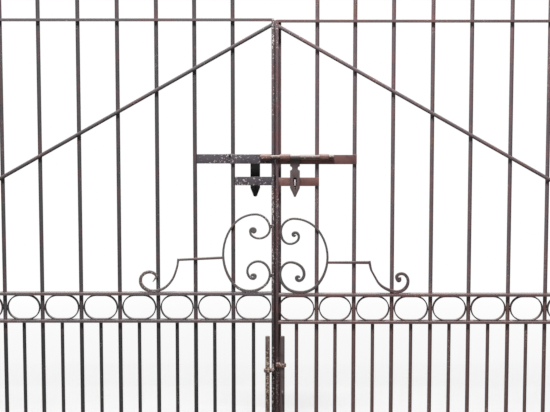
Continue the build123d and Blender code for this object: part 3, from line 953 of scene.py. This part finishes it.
# %% Beads on the guides and the hinge eyes
guide_height = 14 * MM
hinge_eye_height = 50 * MM
tongue_half = 12 * MM
for leaf, hand in sides.items():
    stile_low, stile_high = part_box(leaf + "_meeting_stile")
    inner_x = stile_high.x if hand > 0 else stile_low.x
    guide_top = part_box(leaf + "_drop_guides")[1].z
    beads = []
    for z in (guide_top, guide_top - guide_height):
        beads.append(bead((inner_x, stile_low.y - 5 * MM, z), (7, 16, 5), 0))
    name = leaf + "_guide_welds"
    welds(name, beads, leaf + "_leaf", leaf + "_leaf_paint", bare_welds[leaf])

    eye_low, eye_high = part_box(leaf + "_hinge_eyes")
    hinge_low, hinge_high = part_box(leaf + "_hinge_stile")
    outer_x = hinge_high.x if hand > 0 else hinge_low.x
    beads = []
    for foot_z in (eye_low.z, eye_high.z - hinge_eye_height):
        for number in range(5):
            z = foot_z + (7 + 9 * number) * MM
            for y in (-tongue_half, tongue_half):
                beads.append(bead((outer_x + hand * MM, y, z), (8, 8, 11), 20 * number))
    name = leaf + "_hinge_welds"
    welds(name, beads, leaf + "_leaf", leaf + "_leaf_paint", bare_welds[leaf])

# %% [markdown]
# The posts stand on their foot plates in a ring of weld. Its beads overlap, each a little higher or
# lower than the last, as a welder's hand leaves them.

# %% Beads round the feet of the posts
post_half = 45 * MM
plate_top = 14 * MM
beads_per_face = 7
bead_step = 14 * MM
for side in sides:
    post_low, post_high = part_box(side + "_post")
    post_x = (post_low.x + post_high.x) / 2
    edge = post_half + 1 * MM
    beads = []
    for number in range(4 * beads_per_face):
        face, along = divmod(number, beads_per_face)
        across = (along - beads_per_face // 2) * bead_step
        x, y = ((across, -edge), (across, edge), (-edge, across), (edge, across))[face]
        z = plate_top + (2 + number % 3 * 0.4) * MM
        size = (17, 11, 9) if face < 2 else (11, 17, 9)
        beads.append(bead((post_x + x, y, z), size, 2 * number))
    welds(side + "_post_foot_weld", beads, "root", "post_paint")

# the first bead was only a pattern
bpy.data.objects.remove(first_bead)

# %% [markdown]
# ## Anchor bolts
#
# Each foot plate is held down by four M16 studs set in the concrete, with a washer and a nut. The
# washer and the stud are each one circle drawn up in steps, and the nut is a hexagon whose six
# upper corners are cut by slanting planes, as a nut maker's chamfer leaves them.

# %% A disc drawn up in steps
def drawn_up(name, sides_round, profile):
    """A disc drawn up in steps, each with its height and its radius in metres."""
    (z, radius), *later = profile
    bpy.ops.object.select_all(action="DESELECT")
    bpy.ops.mesh.primitive_circle_add(
        vertices=sides_round, radius=radius, fill_type="NGON", location=(0, 0, z)
    )
    piece = bpy.context.object
    piece.name = name
    bpy.ops.object.transform_apply(location=True)
    bpy.ops.object.mode_set(mode="EDIT")
    bpy.ops.mesh.select_all(action="SELECT")
    for next_z, next_radius in later:
        rise = {"value": (0, 0, next_z - z)}
        bpy.ops.mesh.extrude_region_move(TRANSFORM_OT_translate=rise)
        grow = next_radius / radius
        bpy.ops.transform.resize(value=(grow, grow, 1), center_override=(0, 0, next_z))
        z, radius = next_z, next_radius
    bpy.ops.mesh.select_all(action="SELECT")
    bpy.ops.mesh.normals_make_consistent(inside=False)
    bpy.ops.object.mode_set(mode="OBJECT")
    return piece


# %% One stud with its washer and nut
stud_radius, root_radius, washer_radius, nut_corner = 8 * MM, 7 * MM, 15 * MM, 13.9 * MM
washer_top, nut_top = 3 * MM, 16 * MM

washer = drawn_up(
    "washer", 32, [(0, washer_radius), (2.4 * MM, washer_radius), (washer_top, 14.4 * MM)]
)
nut = drawn_up("nut", 6, [(washer_top, nut_corner), (nut_top, nut_corner)])
bpy.ops.object.mode_set(mode="EDIT")
for corner in range(6):
    turn = math.radians(60 * corner)
    bpy.ops.mesh.select_all(action="SELECT")
    bpy.ops.mesh.bisect(
        plane_co=(12.4 * MM * math.cos(turn), 12.4 * MM * math.sin(turn), nut_top),
        plane_no=(0.5 * math.cos(turn), 0.5 * math.sin(turn), 0.866),
        use_fill=True,
        clear_outer=True,
    )
bpy.ops.object.mode_set(mode="OBJECT")
apply_modifier(nut, "BEVEL", width=0.4 * MM, segments=1, limit_method="ANGLE")

# the thread that shows is eight ridges, 2 mm apart as on an M16 stud
ridges = [(nut_top, root_radius)]
for ridge in range(8):
    crest_z = nut_top + (1 + 2 * ridge) * MM
    ridges += [(crest_z, stud_radius), (crest_z + 1 * MM, root_radius)]
ridges += [(nut_top + 17 * MM, 6.4 * MM)]
stud = drawn_up("stud", 20, ridges)
first_anchor = join("first_anchor", [nut, washer, stud])
print("one anchor has", len(first_anchor.data.polygons), "faces")

# %% Four anchors on each foot plate
hole_offset = 75 * MM
for side in sides:
    post_low, post_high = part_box(side + "_post")
    post_x = (post_low.x + post_high.x) / 2
    anchors = []
    for number in range(4):
        copy = bpy.data.objects.new("anchor", first_anchor.data.copy())
        bpy.context.scene.collection.objects.link(copy)
        to_right, to_back = 1 - 2 * (number % 2), 1 - 2 * (number // 2)
        copy.location = (post_x + to_right * hole_offset, to_back * hole_offset, plate_top)
        # no two nuts stop at the same angle
        copy.rotation_euler = (0, 0, math.radians(17 + 37 * number))
        anchors.append(copy)
    bolted = join(side + "_post_anchors", anchors)
    finish_piece(bolted, "root", "worn_iron")
    print(bolted.name, len(bolted.data.polygons), "faces")
bpy.data.objects.remove(first_anchor)

# %% [markdown]
# ## Studio
#
# A pale floor, a white surround and three soft lamps. The strongest lamp hangs high in front, so
# that each rail throws a short dark shadow on the bars right under it, as daylight does.

# %% The floor
bpy.ops.object.select_all(action="DESELECT")
bpy.ops.mesh.primitive_circle_add(
    vertices=96, radius=60, fill_type="NGON", location=(middle_x, 0, 0)
)
floor = bpy.context.object
floor.name = "floor"
paper = bpy.data.materials.new("pale_paper_floor")
paper.use_nodes = True
ground = paper.node_tree
ground.nodes.clear()
seen = add(ground, "ShaderNodeLightPath", {}).outputs["Is Camera Ray"]
# the eye sees pale paper, but its glow on the undersides is held back
tone = add(
    ground,
    "ShaderNodeMix",
    {0: seen, 6: linear("8c8c8c"), 7: linear("f2f2f2")},
    data_type="RGBA",
)
lit = add(ground, "ShaderNodeBsdfDiffuse", {"Color": tone.outputs[2], "Roughness": 0.5})
white = add(ground, "ShaderNodeEmission", {"Color": linear("ffffff"), "Strength": 1.0})
# near the gate the floor keeps a soft shadow, and past 4 m it melts into the surround
place = add(ground, "ShaderNodeTexCoord", {}).outputs["Object"]
far = add(ground, "ShaderNodeVectorMath", {0: place}, operation="LENGTH").outputs["Value"]
fade = add(ground, "ShaderNodeMapRange", {0: far, 1: 1.6, 2: 4.0, 3: 0.74, 4: 1.0})
share = add(ground, "ShaderNodeMath", {0: fade.outputs[0], 1: seen}, operation="MULTIPLY")
blend = add(
    ground,
    "ShaderNodeMixShader",
    {0: share.outputs[0], 1: lit.outputs[0], 2: white.outputs[0]},
)
add(ground, "ShaderNodeOutputMaterial", {"Surface": blend.outputs[0]})
floor.data.materials.append(paper)
print("the floor fades from", fade.inputs[1].default_value, "m")

# %% The surround
world = bpy.data.worlds.new("white_surround")
bpy.context.scene.world = world
world.use_nodes = True
sky = world.node_tree
sky.nodes.clear()
seen = add(sky, "ShaderNodeLightPath", {}).outputs["Is Camera Ray"]
# the eye sees plain white, and the gate gets only a faint light from it
strength = add(sky, "ShaderNodeMapRange", {0: seen, 3: 0.16, 4: 1.0})
white = add(
    sky,
    "ShaderNodeBackground",
    {"Color": linear("ffffff"), "Strength": strength.outputs[0]},
)
add(sky, "ShaderNodeOutputWorld", {"Surface": white.outputs[0]})

# %% The lamps
# each has its place from the gate's middle, its width in metres and its power in watts
lamps = {
    "high_front": ((-0.3, -2.4, 5.2), 0.9, 245),
    "left_fill": ((-4.5, -3.5, 2.2), 2.0, 12),
    "behind": ((1.5, 4.0, 4.0), 2.5, 40),
}
for name, (offset, width, watts) in lamps.items():
    light = bpy.data.lights.new(name, "AREA")
    light.size = width
    light.energy = watts
    lamp = bpy.data.objects.new(name, light)
    bpy.context.scene.collection.objects.link(lamp)
    lamp.location = Vector((middle_x, 0, 0)) + Vector(offset)
    aim = Vector((middle_x, 0, 1)) - lamp.location
    lamp.rotation_euler = aim.to_track_quat("-Z", "Y").to_euler()
bpy.context.scene.view_settings.view_transform = "Standard"
print(len(lamps), "lamps")
